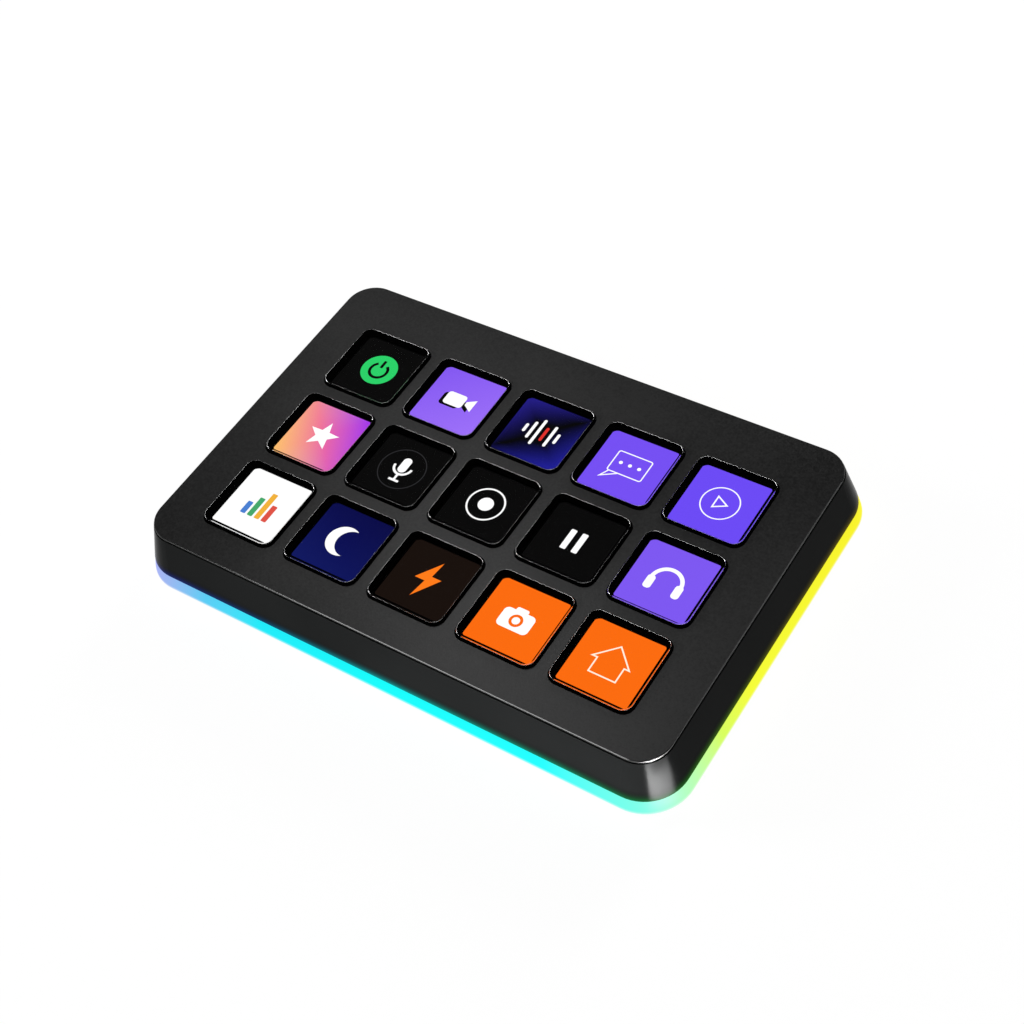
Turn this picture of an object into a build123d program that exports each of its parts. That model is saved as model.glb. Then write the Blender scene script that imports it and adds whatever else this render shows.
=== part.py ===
from build123d import *
import os

# A desk controller with clear keys over one display, in a low housing that flares to a light ring.
# Millimetres. X is the user's right, Y points to the back, Z is up.
# The origin is on the desk, under the middle of the face.

# Key field
key_columns = 5
row_names = ["back", "middle", "front"]
key_pitch = 21.6
key_spacing = 3.5
key_corner = 2.2
key_bevel = 0.2
key_proud = 0.9
key_travel = 0.8
key_clearance = 0.3
flange_spacing = 0.8
flange_thickness = 0.55
flange_play = 0.05
pipe_inset = 0.7
pipe_floor_gap = 0.1

# Face and margins round the key field
side_margin = 8.55
front_margin = 6.2
back_margin = 10.8
face_corner = 6.5
face_chamfer = 0.12
aperture_chamfer = 0.12
plate_rim = 0.55
shadow_gap = 0.2
nest_depth = 0.35
nest_inset = 1.0
nest_clearance = 0.1

# Housing, light ring and base
wall_flare = 2.85
wall_thickness = 1.8
lip_radius = 0.2
deck_thickness = 1.2
window_clearance = 0.6
window_corner = 2.0
ring_height = 3.1
ring_thickness = 1.6
ring_flare = 0.75
ring_bulge = 0.1
ring_step = 0.25
base_flange = 1.3
base_step = 0.5
base_inset = 0.6
base_chamfer = 0.6
step_clearance = 0.1
rim_thickness = 1.4
rim_drop = 0.3
floor_rib_thickness = 1.0
floor_rib_height = 0.8

# Silicone collars, contact sheet and display
collar_packed = 0.3
collar_wall = 0.8
collar_taper = 0.5
collar_spacing = 0.6
sheet_thickness = 0.2
sheet_inset = 0.4
sheet_window_clearance = 0.3
glass_thickness = 1.0
backlight_thickness = 1.5
tray_thickness = 0.3
display_front_margin = 2.4
display_back_margin = 5.0
display_corner = 0.8
display_clearance = 0.6
gasket_inset = 0.5
gasket_width = 1.5

# Bracket, bosses and screws
boss_radius = 2.2
boss_inset = 2.75
corner_boss_inset = 5.8
boss_web = 1.0
screw_radius = 1.0
screw_clearance = 0.05
screw_hole_play = 0.2
head_radius = 1.8
head_height = 1.2
head_clearance = 0.4
screw_grip = 4.5
cross_length = 2.0
cross_width = 0.5
cross_depth = 0.6
bracket_thickness = 1.2
bracket_border = 9.0
bracket_bar = 8.0
bracket_web = 0.6
ear_radius = 2.6
standoff_radius = 2.0
board_screw_grip = 2.4

# Main board, socket, ribbon and ring lights
board_width = 92.0
board_depth = 48.0
board_thickness = 1.0
board_corner = 1.5
board_wall_gap = 0.9
board_hang = 0.1
board_hole_inset = 4.0
socket_width = 8.94
socket_height = 3.16
socket_length = 7.35
socket_wall = 0.3
socket_overhang = 1.2
socket_port_play = 0.33
socket_notch_play = 0.6
socket_headroom = 0.14
tongue_width = 6.7
tongue_thickness = 0.7
tongue_length = 4.6
tongue_play = 0.05
ribbon_width = 28.0
ribbon_thickness = 0.2
ribbon_reach = 1.6
ribbon_play = 0.05
ribbon_insertion = 2.0
connector_depth = 4.0
connector_height = 1.2
connector_wall = 1.5
connector_clearance = 0.4
processor_side = 10.0
processor_x = 10.0
memory_width = 6.0
memory_length = 8.0
chip_height = 1.0
chip_gap = 5.0
crystal_side = 3.2
ring_plug_width = 6.0
ring_plug_depth = 3.6
ring_plug_inset = 19.5
strip_thickness = 0.25
strip_height = 2.2
strip_play = 0.05
light_side = 2.0
light_depth = 0.8
light_gap = 0.5
lights_along_front = 8
lights_along_side = 5

# Feet
foot_drop = 1.6
foot_recess = 0.6
foot_length = 22.0
foot_width = 8.0
foot_corner = 3.0
foot_play = 0.1
foot_edge = 0.4
foot_inset_x = 22.0
foot_inset_y = 10.0

# Levels: the stack behind the face sets the wall's height
collar_height = key_travel + collar_packed
plate_thickness = plate_rim + shadow_gap + nest_depth
key_stack = plate_thickness + flange_play + flange_thickness + collar_height + sheet_thickness
display_stack = glass_thickness + backlight_thickness + tray_thickness
board_stack = socket_headroom + socket_height + board_thickness
wall_height = key_stack + display_stack + board_stack - board_hang
base_bottom = foot_drop
ring_bottom = base_bottom + base_flange
floor_top = ring_bottom + base_step
wall_foot = ring_bottom + ring_height
boss_meet = wall_foot - rim_drop
strip_level = (boss_meet + floor_top) / 2
head_seat = base_bottom + head_height + head_clearance
face_top = wall_foot + wall_height
rim_under = face_top - plate_rim
wall_top = rim_under - shadow_gap
plate_under = face_top - plate_thickness
deck_under = plate_under - deck_thickness
flange_top = plate_under - flange_play
flange_under = flange_top - flange_thickness
sheet_top = flange_under - collar_height
glass_top = sheet_top - sheet_thickness
backlight_top = glass_top - glass_thickness
tray_floor = backlight_top - backlight_thickness
bracket_top = tray_floor - tray_thickness
bracket_under = bracket_top - bracket_thickness
board_top = bracket_top - socket_headroom - socket_height
board_under = board_top - board_thickness
socket_level = board_top + socket_height / 2

# Outlines that several pieces share
key_rows = len(row_names)
field_width = key_columns * key_pitch
field_depth = key_rows * key_pitch
face_width = field_width + 2 * side_margin
face_depth = field_depth + front_margin + back_margin
field_y = (front_margin - back_margin) / 2
key_side = key_pitch - key_spacing
aperture_side = key_side + 2 * key_clearance
aperture_corner = key_corner + key_clearance
flange_side = key_pitch - flange_spacing
flange_corner = aperture_corner + (flange_side - aperture_side) / 2
pipe_side = key_side - 2 * pipe_inset
pipe_corner = key_corner - pipe_inset
window_width = (key_columns - 1) * key_pitch + flange_side + 2 * window_clearance
window_depth = (key_rows - 1) * key_pitch + flange_side + 2 * window_clearance
boss_x = face_width / 2 - boss_inset
corner_boss_y = face_depth / 2 - corner_boss_inset
display_width = 2 * (boss_x - boss_radius - display_clearance)
display_depth = field_depth + display_front_margin + display_back_margin
display_y = field_y + (display_back_margin - display_front_margin) / 2
display_back = display_y + display_depth / 2
ring_inside = wall_flare - ring_thickness
strip_inside = ring_inside - light_gap - light_depth - strip_thickness
rim_outside = strip_inside - strip_play
column_x = [(column - (key_columns - 1) / 2) * key_pitch for column in range(key_columns)]
row_y = [field_y + ((key_rows - 1) / 2 - row) * key_pitch for row in range(key_rows)]
ribbon_x = -(board_width / 2 - board_hole_inset - standoff_radius + socket_width / 2) / 2
bracket_posts = [(side * boss_x, y) for side in (-1, 1) for y in row_y]
corner_posts = [(side * boss_x, end * corner_boss_y) for side in (-1, 1) for end in (-1, 1)]


def flare(level):
    """Outward offset of the sloped wall from the face outline at one height."""
    return wall_flare * (face_top - level) / wall_height


def outline(offset, level):
    """The face outline moved outwards by an offset, as a flat sketch at one height."""
    shape = RectangleRounded(face_width + 2 * offset, face_depth + 2 * offset, face_corner + offset)
    return Pos(0, 0, level) * shape


def band(offset, low, high):
    """A straight-sided block on the face outline."""
    return extrude(outline(offset, low), amount=high - low)


def tapered(low, low_offset, high, high_offset):
    """A block whose walls slope evenly between two offset outlines."""
    return loft([outline(low_offset, low), outline(high_offset, high)], ruled=True)


def block(width, depth, corner, low, high, x=0.0, y=0.0):
    """A rounded rectangular block that stands on one level."""
    return extrude(Pos(x, y, low) * RectangleRounded(width, depth, corner), amount=high - low)


def brick(width, depth, low, high, x=0.0, y=0.0):
    """A square-cornered block that stands on one level."""
    return extrude(Pos(x, y, low) * Rectangle(width, depth), amount=high - low)


def post(x, y, radius, low, high):
    """An upright cylinder."""
    return extrude(Pos(x, y, low) * Circle(radius), amount=high - low)


def group(solids):
    """Separate like pieces kept together under one name."""
    return Compound(children=solids)


def save(shape, name):
    """Writes one piece under its own name."""
    export_step(shape, f"parts/{name}.step")


def edges_at(shape, level):
    """The edges of a shape that lie flat at one height."""
    return [edge for edge in shape.edges() if abs(edge.bounding_box().min.Z - level) < 1e-4
            and abs(edge.bounding_box().max.Z - level) < 1e-4]


def screw(x, y, seat, grip):
    """A pan-head screw from below: the head hangs under its seat, the shank goes up."""
    body = post(x, y, head_radius, seat - head_height, seat) + post(x, y, screw_radius, seat, seat + grip)
    drive_top = seat - head_height + cross_depth
    for width, depth in ((cross_length, cross_width), (cross_width, cross_length)):
        body -= brick(width, depth, seat - head_height, drive_top, x, y)
    return body


def face_plate():
    """The dark top panel: a thin chamfered rim, a nest that drops into the housing, one aperture a key."""
    plate = chamfer(edges_at(band(0, rim_under, face_top), face_top), face_chamfer)
    plate += band(-nest_inset, plate_under, rim_under)
    for x in column_x:
        for y in row_y:
            hole = block(aperture_side, aperture_side, aperture_corner, plate_under, face_top, x, y)
            mouth_side = aperture_side + 2 * aperture_chamfer
            throat = RectangleRounded(aperture_side, aperture_side, aperture_corner)
            mouth = RectangleRounded(mouth_side, mouth_side, aperture_corner + aperture_chamfer)
            throat_place, mouth_place = Pos(x, y, face_top - aperture_chamfer), Pos(x, y, face_top)
            plate -= hole + loft([throat_place * throat, mouth_place * mouth], ruled=True)
    return plate


def upper_housing():
    """The sloped shell: rounded foot, deck with the key window, screw bosses and the socket port."""
    outside = tapered(wall_foot, wall_flare, wall_top, flare(wall_top))
    shell = fillet(edges_at(outside, wall_foot), lip_radius)
    inside_low = flare(wall_foot) - wall_thickness
    inside_high = flare(deck_under) - wall_thickness
    shell -= tapered(wall_foot, inside_low, deck_under, inside_high)
    shell -= band(nest_clearance - nest_inset, plate_under, wall_top)
    shell -= block(window_width, window_depth, window_corner, deck_under, plate_under, 0, field_y)
    core_depth = wall_thickness / 2
    core = tapered(wall_foot, wall_flare - core_depth, wall_top, flare(wall_top) - core_depth)
    bosses = [(x, y, bracket_top) for x, y in bracket_posts] + [(x, y, boss_meet) for x, y in corner_posts]
    for x, y, low in bosses:
        web_x = x + boss_inset if x > 0 else x - boss_inset
        web = brick(2 * boss_inset, boss_web, max(low, wall_foot), deck_under, web_x, y)
        shell += post(x, y, boss_radius, low, deck_under)
        shell += web & core
    for x, y, low in bosses:
        shell -= post(x, y, screw_radius + screw_clearance, low, deck_under)
    return shell - socket_port()


def across(start):
    """The plane that looks out through the back wall on the socket's centre line."""
    return Plane(origin=(0, start, socket_level), x_dir=(1, 0, 0), z_dir=(0, 1, 0))


def socket_port():
    """The stadium-shaped way through the back wall."""
    width = socket_width + 2 * socket_port_play
    height = socket_height + 2 * socket_port_play
    section = across(face_depth / 2 - wall_thickness)
    return extrude(section * SlotOverall(width, height), amount=wall_flare + 2 * wall_thickness)


def light_ring():
    """The diffuser band: a profile that flares on from the wall, crowned outwards, round the face outline."""
    profile = Plane(origin=(0, -face_depth / 2, 0), x_dir=(0, -1, 0), z_dir=(-1, 0, 0))
    outer_low = (wall_flare + ring_flare, ring_bottom)
    outer_high = (wall_flare - ring_step, wall_foot)
    outer_mid = ((outer_low[0] + outer_high[0]) / 2 + ring_bulge, (ring_bottom + wall_foot) / 2)
    section = make_face([
        Line((ring_inside, ring_bottom), outer_low),
        ThreePointArc(outer_low, outer_mid, outer_high),
        Line(outer_high, (ring_inside, wall_foot)),
        Line((ring_inside, wall_foot), (ring_inside, ring_bottom)),
    ])
    path = outline(0, 0).faces()[0].outer_wire()
    return sweep(profile * section, path=path)


def base_cover():
    """The bottom tray: a flange under the ring, a locating step, the light strip's rim and screw bosses."""
    flange_offset = wall_flare - base_inset
    cover = chamfer(edges_at(band(flange_offset, base_bottom, ring_bottom), base_bottom), base_chamfer)
    cover += band(ring_inside - step_clearance, ring_bottom, floor_top)
    rim_inside = rim_outside - rim_thickness
    cover += band(rim_outside, floor_top, boss_meet) - band(rim_inside, floor_top, boss_meet)
    rib_low, rib_high = floor_top, floor_top + floor_rib_height
    rib_span = face_width + 2 * rim_inside
    rib_reach = face_depth + 2 * rim_inside
    for x, y in ((-rib_span / 4, 0), (0, 0), (rib_span / 4, 0)):
        cover += brick(floor_rib_thickness, rib_reach, rib_low, rib_high, x, y)
    cover += brick(rib_span, floor_rib_thickness, rib_low, rib_high, 0, 0)
    for x, y in corner_posts:
        cover += post(x, y, boss_radius, floor_top, boss_meet) & band(rim_outside, floor_top, boss_meet)
    for x, y in corner_posts:
        cover -= post(x, y, screw_radius + screw_hole_play, base_bottom, boss_meet)
        cover -= post(x, y, head_radius + head_clearance, base_bottom, head_seat)
    for x, y in foot_places():
        cover -= block(foot_length + 2 * foot_play, foot_width + 2 * foot_play, foot_corner + foot_play,
                       base_bottom, base_bottom + foot_recess, x, y)
    return cover


def foot_places():
    """The middles of the four feet."""
    return [(side * (face_width / 2 - foot_inset_x), end * (face_depth / 2 - foot_inset_y))
            for side in (-1, 1) for end in (-1, 1)]


def foot(x, y):
    """A rubber pad seated in its recess, with a softened lower edge."""
    pad = block(foot_length, foot_width, foot_corner, 0, base_bottom + foot_recess, x, y)
    return chamfer(edges_at(pad, 0), foot_edge)


def key_cap(x, y):
    """A clear key: bevelled head, retaining flange under the plate, light pipe over the display."""
    key_top = face_top + key_proud
    head = block(key_side, key_side, key_corner, flange_top, key_top, x, y)
    cap = chamfer(edges_at(head, key_top), key_bevel)
    cap += block(flange_side, flange_side, flange_corner, flange_under, flange_top, x, y)
    pipe_under = glass_top + key_travel + pipe_floor_gap
    cap += block(pipe_side, pipe_side, pipe_corner, pipe_under, flange_under, x, y)
    return cap


def collar_wall_loft(x, y, inset):
    """One skin of a collar, narrower at the top where it carries the key."""
    low_side = key_pitch - collar_spacing - 2 * inset
    high_side = low_side - 2 * collar_taper
    low = Pos(x, y, sheet_top) * RectangleRounded(low_side, low_side, flange_corner - inset)
    high = Pos(x, y, flange_under) * RectangleRounded(high_side, high_side, flange_corner - inset)
    return loft([low, high], ruled=True)


def collar(x, y):
    """A collapsing silicone collar that returns the key."""
    return collar_wall_loft(x, y, 0) - collar_wall_loft(x, y, collar_wall)


def contact_sheet():
    """The membrane with the key contacts, one window a key, lying on the display glass."""
    sheet = block(window_width - 2 * sheet_inset, window_depth - 2 * sheet_inset, window_corner,
                  glass_top, sheet_top, 0, field_y)
    opening = pipe_side + 2 * sheet_window_clearance
    opening_corner = pipe_corner + sheet_window_clearance
    for x in column_x:
        for y in row_y:
            sheet -= block(opening, opening, opening_corner, glass_top, sheet_top, x, y)
    return sheet


def dust_gasket():
    """The foam frame that seals the display against the deck."""
    outer_width = display_width - 2 * gasket_inset
    outer_depth = display_depth - 2 * gasket_inset
    frame = block(outer_width, outer_depth, display_corner, glass_top, deck_under, 0, display_y)
    return frame - block(outer_width - 2 * gasket_width, outer_depth - 2 * gasket_width, display_corner,
                         glass_top, deck_under, 0, display_y)


def display_glass():
    """The one panel that shows through every key."""
    return block(display_width, display_depth, display_corner, backlight_top, glass_top, 0, display_y)


def display_backlight():
    """The light guide that lies in the pan, behind the glass."""
    width = display_width - 2 * tray_thickness
    depth = display_depth - 2 * tray_thickness
    return block(width, depth, display_corner, tray_floor, backlight_top, 0, display_y)


def display_tray():
    """The folded steel pan that holds the backlight."""
    pan = block(display_width, display_depth, display_corner, bracket_top, backlight_top, 0, display_y)
    return pan - display_backlight()


def display_bracket():
    """The carrier behind the display: four windows, ears on the bosses, standoffs for the board."""
    plate = block(display_width, display_depth, display_corner, bracket_under, bracket_top, 0, display_y)
    neck = boss_x - display_width / 2
    for x, y in bracket_posts:
        neck_x = x - neck if x > 0 else x + neck
        plate += post(x, y, ear_radius, bracket_under, bracket_top)
        plate += brick(2 * neck, 2 * ear_radius, bracket_under, bracket_top, neck_x, y)
    bar_y = min(y for x, y in board_posts())
    back_edge = max(y for x, y in board_posts()) - standoff_radius - bracket_web
    window_width_each = (display_width - bracket_bar) / 2 - bracket_border
    window_x = (window_width_each + bracket_bar) / 2
    front_edge = display_y - display_depth / 2 + bracket_border
    for low_y, high_y in ((front_edge, bar_y - bracket_bar / 2), (bar_y + bracket_bar / 2, back_edge)):
        for side in (-1, 1):
            plate -= block(window_width_each, high_y - low_y, display_corner, bracket_under, bracket_top,
                           side * window_x, (low_y + high_y) / 2)
    notch_depth = socket_length + socket_notch_play
    plate -= brick(socket_width + 2 * socket_notch_play, notch_depth, bracket_under, bracket_top,
                   0, board_back() + socket_overhang - notch_depth / 2)
    for x, y in board_posts():
        plate += post(x, y, standoff_radius, board_top, bracket_under)
    for x, y in board_posts():
        plate -= post(x, y, screw_radius + screw_clearance, board_top, bracket_top)
    for x, y in bracket_posts:
        plate -= post(x, y, screw_radius + screw_hole_play, bracket_under, bracket_top)
    return plate


def board_back():
    """The main board's back edge, one gap inside the wall at its level."""
    return face_depth / 2 + flare(board_top) - wall_thickness - board_wall_gap


def board_posts():
    """The places of the board's four screws, the back pair just in front of the ribbon connector."""
    back_y = display_back - connector_depth - connector_clearance - standoff_radius
    front_y = board_back() - board_depth + board_hole_inset
    return [(side * (board_width / 2 - board_hole_inset), y) for side in (-1, 1) for y in (back_y, front_y)]


def main_board():
    """The circuit board that hangs under the bracket, with its back edge at the socket."""
    middle = board_back() - board_depth / 2
    board = block(board_width, board_depth, board_corner, board_under, board_top, 0, middle)
    for x, y in board_posts():
        board -= post(x, y, screw_radius + screw_hole_play, board_under, board_top)
    return board


def socket_section(inset, start):
    """The socket's stadium outline, standing across the back edge of the board."""
    return across(start) * SlotOverall(socket_width - 2 * inset, socket_height - 2 * inset)


def usb_socket():
    """The drawn steel shell of the socket, open towards the back."""
    mouth = board_back() + socket_overhang
    shell = extrude(socket_section(0, mouth - socket_length), amount=socket_length)
    return shell - extrude(socket_section(socket_wall, mouth - socket_length), amount=socket_length)


def usb_tongue():
    """The moulded insert: a plug of plastic at the back of the shell and the thin contact tongue."""
    mouth = board_back() + socket_overhang
    rear = mouth - socket_length
    seat_length = socket_length - tongue_length - socket_overhang
    insert = extrude(socket_section(socket_wall + tongue_play, rear), amount=seat_length)
    tongue = across(rear + seat_length) * Rectangle(tongue_width, tongue_thickness)
    return insert + extrude(tongue, amount=tongue_length)


def ribbon_connector():
    """The slotted connector on top of the board that takes the display's ribbon."""
    width = ribbon_width + 2 * connector_wall
    body = brick(width, connector_depth, board_top, board_top + connector_height,
                 ribbon_x, display_back - connector_depth / 2)
    level = board_top + connector_height / 2
    slot_width = ribbon_width + 2 * ribbon_play
    slot_half = ribbon_thickness / 2 + ribbon_play
    return body - brick(slot_width, ribbon_insertion, level - slot_half, level + slot_half,
                        ribbon_x, display_back - ribbon_insertion / 2)


def display_ribbon():
    """The flat flex from the glass edge, folded down behind the bracket and into the connector."""
    high = (glass_top + backlight_top) / 2
    low = board_top + connector_height / 2
    bend = (high - low) / 2
    start, turn = display_back, display_back + ribbon_reach
    finish = display_back - ribbon_insertion
    half = ribbon_thickness / 2
    side = Plane(origin=(ribbon_x - ribbon_width / 2, 0, 0), x_dir=(0, 1, 0), z_dir=(1, 0, 0))
    outer = bend + half
    inner = bend - half
    middle = (high + low) / 2
    section = make_face([
        Line((start, high + half), (turn, high + half)),
        ThreePointArc((turn, high + half), (turn + outer, middle), (turn, low - half)),
        Line((turn, low - half), (finish, low - half)),
        Line((finish, low - half), (finish, low + half)),
        Line((finish, low + half), (turn, low + half)),
        ThreePointArc((turn, low + half), (turn + inner, middle), (turn, high - half)),
        Line((turn, high - half), (start, high - half)),
        Line((start, high - half), (start, high + half)),
    ])
    return extrude(side * section, amount=ribbon_width)


def board_chips():
    """The parts soldered under the board: processor, memory, crystal and the ring lights' plug."""
    y = board_back() - board_depth / 2
    low = board_under - chip_height
    memory_x = processor_x + (processor_side + memory_width) / 2 + chip_gap
    crystal_x = processor_x - (processor_side + crystal_side) / 2 - chip_gap
    plug_x = ring_plug_inset - board_width / 2
    return group([
        brick(processor_side, processor_side, low, board_under, processor_x, y),
        brick(memory_width, memory_length, low, board_under, memory_x, y),
        brick(crystal_side, crystal_side, low, board_under, crystal_x, y),
        brick(ring_plug_width, ring_plug_depth, low, board_under, plug_x, y),
    ])


def light_strip():
    """The flexible circuit wound round the base's rim."""
    low, high = strip_level - strip_height / 2, strip_level + strip_height / 2
    return band(strip_inside + strip_thickness, low, high) - band(strip_inside, low, high)


def ring_lights():
    """The small lamps on the strip, facing the ring on all four sides."""
    low, high = strip_level - light_side / 2, strip_level + light_side / 2
    offset = strip_inside + strip_thickness + light_depth / 2
    x_reach, y_reach = face_width / 2 + offset, face_depth / 2 + offset
    x_step = (face_width - 2 * face_corner) / lights_along_front
    y_step = (face_depth - 2 * face_corner) / lights_along_side
    lamps = []
    for place in range(lights_along_front):
        x = (place - (lights_along_front - 1) / 2) * x_step
        lamps += [brick(light_side, light_depth, low, high, x, end * y_reach) for end in (-1, 1)]
    for place in range(lights_along_side):
        y = (place - (lights_along_side - 1) / 2) * y_step
        lamps += [brick(light_depth, light_side, low, high, side * x_reach, y) for side in (-1, 1)]
    return group(lamps)


os.makedirs("parts", exist_ok=True)
save(face_plate(), "face_plate")
save(upper_housing(), "upper_housing")
save(light_ring(), "light_ring")
save(base_cover(), "base_cover")
for name, place in zip(("front_left", "back_left", "front_right", "back_right"), foot_places()):
    save(foot(*place), f"foot_{name}")
for row_name, y in zip(row_names, row_y):
    for number, x in enumerate(column_x, start=1):
        save(key_cap(x, y), f"key_{row_name}_{number}")
        save(collar(x, y), f"collar_{row_name}_{number}")
save(contact_sheet(), "contact_sheet")
save(dust_gasket(), "dust_gasket")
save(display_glass(), "display_glass")
save(display_backlight(), "display_backlight")
save(display_tray(), "display_tray")
save(display_bracket(), "display_bracket")
save(display_ribbon(), "display_ribbon")
save(ribbon_connector(), "ribbon_connector")
save(main_board(), "main_board")
save(board_chips(), "board_chips")
save(usb_socket(), "usb_socket")
save(usb_tongue(), "usb_tongue")
save(light_strip(), "light_strip")
save(ring_lights(), "ring_lights")
save(group([screw(x, y, bracket_under, screw_grip) for x, y in bracket_posts]), "bracket_screws")
save(group([screw(x, y, board_under, board_screw_grip) for x, y in board_posts()]), "board_screws")
base_grip = boss_meet - head_seat + screw_grip
save(group([screw(x, y, head_seat, base_grip) for x, y in corner_posts]), "base_screws")
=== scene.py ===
# %% [markdown]
# # A stream controller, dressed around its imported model
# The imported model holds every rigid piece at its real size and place. This lesson adds what a camera
# sees: finishes, light, and the clear, soft or flat pieces that are easier to work out as surfaces.
# Nothing here moves a rigid piece. Each new one says which body it rides on.

# %% Load the frame
import math
import bmesh
import bpy
import numpy as np
from mathutils import Matrix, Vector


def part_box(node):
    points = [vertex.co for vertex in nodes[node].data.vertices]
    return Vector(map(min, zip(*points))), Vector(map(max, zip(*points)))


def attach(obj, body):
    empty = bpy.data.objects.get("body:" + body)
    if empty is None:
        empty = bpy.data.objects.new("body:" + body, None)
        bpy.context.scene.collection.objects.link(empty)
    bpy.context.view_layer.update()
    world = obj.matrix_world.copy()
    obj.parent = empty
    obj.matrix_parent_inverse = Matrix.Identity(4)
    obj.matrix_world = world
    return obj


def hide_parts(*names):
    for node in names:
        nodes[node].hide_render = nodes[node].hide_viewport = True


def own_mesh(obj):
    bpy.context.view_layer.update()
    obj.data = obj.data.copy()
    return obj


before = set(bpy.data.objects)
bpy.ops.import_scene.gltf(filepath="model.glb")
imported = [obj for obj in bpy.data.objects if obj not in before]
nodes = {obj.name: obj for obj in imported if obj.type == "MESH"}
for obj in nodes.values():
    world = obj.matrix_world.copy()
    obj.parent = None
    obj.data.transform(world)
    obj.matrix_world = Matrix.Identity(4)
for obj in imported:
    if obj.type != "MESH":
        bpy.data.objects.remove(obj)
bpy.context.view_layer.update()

MM = 0.001
key_names = [name for name in nodes if name.startswith("key_")]

# %% [markdown]
# ## The camera
# A photograph fixes where its camera stood: the key grid is a known square pattern, so its corners in
# the picture give place, aim and lens. The camera could be placed by eye, but a solved one lets every
# edge be laid over the photograph. The controller was photographed leaning back, which the camera
# takes up as a roll, so the part itself stays flat on its feet.

# %% Camera at the photograph's place
camera_place = np.array([158.71, -165.84, 286.34]) * MM
azimuth, elevation, roll = np.radians([42.869, 50.389, 12.881])
lens_mm, sensor_mm = 60.291, 36.0


def camera_axes(azimuth, elevation, roll):
    """Right, up and backward: level axes from the two angles, then turned by the roll about the view."""
    right = np.array([math.cos(azimuth), math.sin(azimuth), 0.0])
    flat = np.array([-math.sin(azimuth), math.cos(azimuth), 0.0])
    forward = flat * math.cos(elevation) - np.array([0.0, 0.0, math.sin(elevation)])
    up = np.cross(right, forward)
    turned = right * math.cos(roll) - up * math.sin(roll)
    return turned, np.cross(turned, forward), -forward


def place_matrix(axes, place):
    """A matrix from three axes and a place in metres."""
    matrix = np.eye(4)
    matrix[:3, :3] = np.column_stack(axes)
    matrix[:3, 3] = place
    return Matrix(matrix.tolist())


camera = bpy.data.objects.new("camera", bpy.data.cameras.new("camera"))
camera.matrix_world = place_matrix(camera_axes(azimuth, elevation, roll), camera_place)
camera.data.lens, camera.data.sensor_width = lens_mm, sensor_mm
camera.data.clip_start, camera.data.clip_end = 10 * MM, 20.0
bpy.context.scene.collection.objects.link(camera)
bpy.context.scene.camera = camera
bpy.context.scene.view_settings.view_transform = "Standard"
print("camera", np.linalg.norm(camera_place).round(3), "m from the origin")

# %% [markdown]
# ## Colours and nodes
# Colours are written as on a paint card, in sRGB hex, and light adds up in linear values, so one
# function turns the first into the second. One more adds a node: every material below is a few calls
# of it, which keeps the recipe readable from top to bottom.

# %% Colour and node helpers


def linear(code):
    """sRGB hex to linear light: c / 12.92 near black, else ((c + 0.055) / 1.055) to the power 2.4."""
    srgb = np.array([int(code[place:place + 2], 16) for place in (1, 3, 5)]) / 255
    light = np.where(srgb <= 0.04045, srgb / 12.92, ((srgb + 0.055) / 1.055) ** 2.4)
    return (*light.tolist(), 1.0)


def add_node(tree, kind, inputs=None, stops=(), **settings):
    """One node. An input is a value, or a socket or node to link from: a node gives its first output in use.
    A ramp's stop is a (place, hex) pair."""
    node = tree.nodes.new("ShaderNode" + kind)
    for name, value in settings.items():
        setattr(node, name, value)
    for name, value in (inputs or {}).items():
        if isinstance(value, bpy.types.Node):
            value = next(socket for socket in value.outputs if socket.enabled)
        if isinstance(value, bpy.types.NodeSocket):
            tree.links.new(value, node.inputs[name])
        else:
            node.inputs[name].default_value = value
    for number, (position, code) in enumerate(stops):
        elements = node.color_ramp.elements
        element = elements[number] if number < 2 else elements.new(position)
        element.position, element.color = position, linear(code)
    return node


def new_material(name):
    """An empty material: itself, its node tree, and the Object coordinates that its patterns read."""
    material = bpy.data.materials.new(name)
    material.use_nodes = True
    tree = material.node_tree
    tree.nodes.clear()
    return material, tree, add_node(tree, "TexCoord").outputs["Object"]


def per_metre(size_mm):
    """How many grains of one size lie in a metre, which is the scale of a pattern."""
    return 1 / (size_mm * MM)


print("helpers ready, mid grey is", round(linear("#808080")[0], 3))

# %% [markdown]
# ## Meshes from arrays
# Every new piece is a grid of points. Its quads join neighbours, and either direction may close on its
# start. Most pieces here are square with round corners, so one function carries a profile round such
# an outline: it could be a swept curve, but as an array each point's place can be read off.

# %% Grid and outline helpers
sharp_angle, least_radius_mm, same_mm = math.radians(35), 0.05, 0.01


def grid_faces(rows, columns, close_rows=False, close_columns=False):
    """Quads between neighbours of a grid of points, with either direction joined to its start."""
    row = np.arange(rows if close_rows else rows - 1)[:, None]
    column = np.arange(columns if close_columns else columns - 1)[None, :]
    next_row, next_column = (row + 1) % rows, (column + 1) % columns
    corners = [row * columns + column, row * columns + next_column,
               next_row * columns + next_column, next_row * columns + column]
    return np.stack(np.broadcast_arrays(*corners), axis=-1).reshape(-1, 4).tolist()


def capped_faces(rows, columns):
    """Quads of a profile carried round, closed by one face at its first row and one at its last."""
    first = list(range(columns))
    last = [(rows - 1) * columns + place for place in first]
    return grid_faces(rows, columns, close_columns=True) + [first[::-1], last]


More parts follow.
